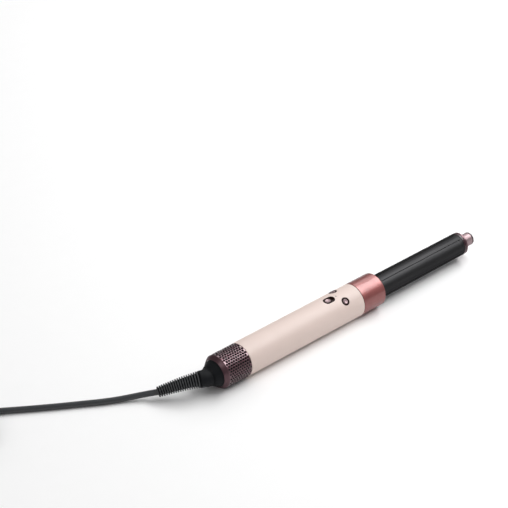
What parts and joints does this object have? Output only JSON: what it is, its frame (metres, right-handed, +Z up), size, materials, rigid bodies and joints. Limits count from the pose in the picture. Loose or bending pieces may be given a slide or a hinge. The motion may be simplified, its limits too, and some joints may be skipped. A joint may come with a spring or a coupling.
{
  "type": "automatic hair curler",
  "caption": "Slim round-handled air curler with a perforated rear filter cage, push controls, a click-on curling barrel and a coiled mains lead with plug.",
  "frame": {"origin": "on the surface that the curler lies on, under the middle of its bounding box, the lead and plug left out", "axes": "+X along the handle from the lead's end towards the barrel's tip, +Z up, +Y to the left when looking along +X"},
  "size_m": [0.7732, 0.1891, 0.0419],
  "materials": {
    "blush_plastic": "satin painted plastic",
    "rose_metal": "satin metallic",
    "plum_metal": "satin metallic",
    "graphite": "satin graphite",
    "burgundy": "dark gloss",
    "pale_pink": "satin",
    "knob_grey": "satin pinkish grey",
    "dark_plastic": "dark moulded plastic",
    "grey_plastic": "moulded glass-filled nylon",
    "clear_nylon": "translucent light pipe",
    "rubber": "moulded rubber",
    "cord": "smooth flexible sheath",
    "steel": "bright",
    "copper": "enamelled copper",
    "magnet": "sintered magnet",
    "mica": "mica sheet",
    "board": "printed board",
    "fine_mesh": "woven fine mesh"
  },
  "bodies": {
    "handle": {"handle_shell": "blush_plastic", "slider_bezel": "dark_plastic", "slide_switch": "steel", "airflow_bezel": "dark_plastic", "airflow_switch": "steel", "temperature_bezel": "dark_plastic", "temperature_switch": "steel", "indicator_light": "clear_nylon", "control_board": "board", "latch_spring": "steel", "fine_filter": "fine_mesh", "intake_frame": "dark_plastic", "cable_stalk": "dark_plastic", "end_cone": "rubber", "motor_sleeve": "rubber", "motor_bucket": "grey_plastic", "motor_pcb": "board", "diffuser": "grey_plastic", "front_bearing": "steel", "motor_bracket": "grey_plastic", "rear_bearing": "steel", "stator_core": "steel", "stator_coil_1": "copper", "stator_coil_2": "copper", "duct_funnel": "grey_plastic", "heater_tube": "mica", "heater_frame": "mica", "heating_element_1": "copper", "heating_element_2": "copper", "heating_element_3": "copper", "neck_socket": "dark_plastic", "neck_seal": "rubber", "thermistor": "clear_nylon", "strain_relief": "rubber", "cord_tube": "cord", "cord_lead": "cord", "cord_coil": "cord", "cord_tie": "dark_plastic", "plug_body": "dark_plastic", "plug_pin_1": "steel", "plug_pin_2": "steel"},
    "rotor": {"impeller": "grey_plastic", "rotor_shaft": "steel", "rotor_magnet": "magnet"},
    "cage": {"filter_cage": "plum_metal", "alignment_dot": "blush_plastic"},
    "slider": {"power_slider": "knob_grey"},
    "airflow": {"airflow_button": "knob_grey"},
    "temperature": {"temperature_button": "knob_grey"},
    "catch": {"release_catch": "blush_plastic"},
    "barrel": {"collar": "rose_metal", "collar_spacer": "dark_plastic", "coupling_base": "dark_plastic", "barrel_shell": "graphite", "barrel_end_cap": "burgundy", "tip_flange": "pale_pink"},
    "knob": {"direction_knob": "knob_grey", "knob_shaft": "steel", "flow_shutter": "grey_plastic"}
  },
  "joints": [
    {"name": "rotor_spin", "type": "hinge", "parent": "handle", "child": "rotor", "pos_m": [-0.113, 0, 0.0205], "axis": [1, 0, 0], "continuous": true},
    {"name": "cage_pull", "type": "slide", "parent": "handle", "child": "cage", "axis": [-1, 0, 0], "range_m": [0, 0.026]},
    {"name": "power_slide", "type": "slide", "parent": "handle", "child": "slider", "axis": [1, 0, 0], "range_m": [0, 0.004]},
    {"name": "airflow_press", "type": "slide", "parent": "handle", "child": "airflow", "axis": [0, 0.6225, -0.7826], "range_m": [0, 0.0007], "stiffness_N_per_m": 800},
    {"name": "temperature_press", "type": "slide", "parent": "handle", "child": "temperature", "axis": [0, -0.4305, -0.9026], "range_m": [0, 0.0007], "stiffness_N_per_m": 800},
    {"name": "catch_slide", "type": "slide", "parent": "handle", "child": "catch", "axis": [-1, 0, 0], "range_m": [0, 0.003], "stiffness_N_per_m": 300},
    {"name": "barrel_pull", "type": "slide", "parent": "handle", "child": "barrel", "axis": [1, 0, 0], "range_m": [0, 0.04], "deforming": ["latch_spring"]},
    {"name": "direction_turn", "type": "hinge", "parent": "barrel", "child": "knob", "pos_m": [0.2, 0, 0.0205], "axis": [1, 0, 0], "range_deg": [0, 30]}
  ]
}
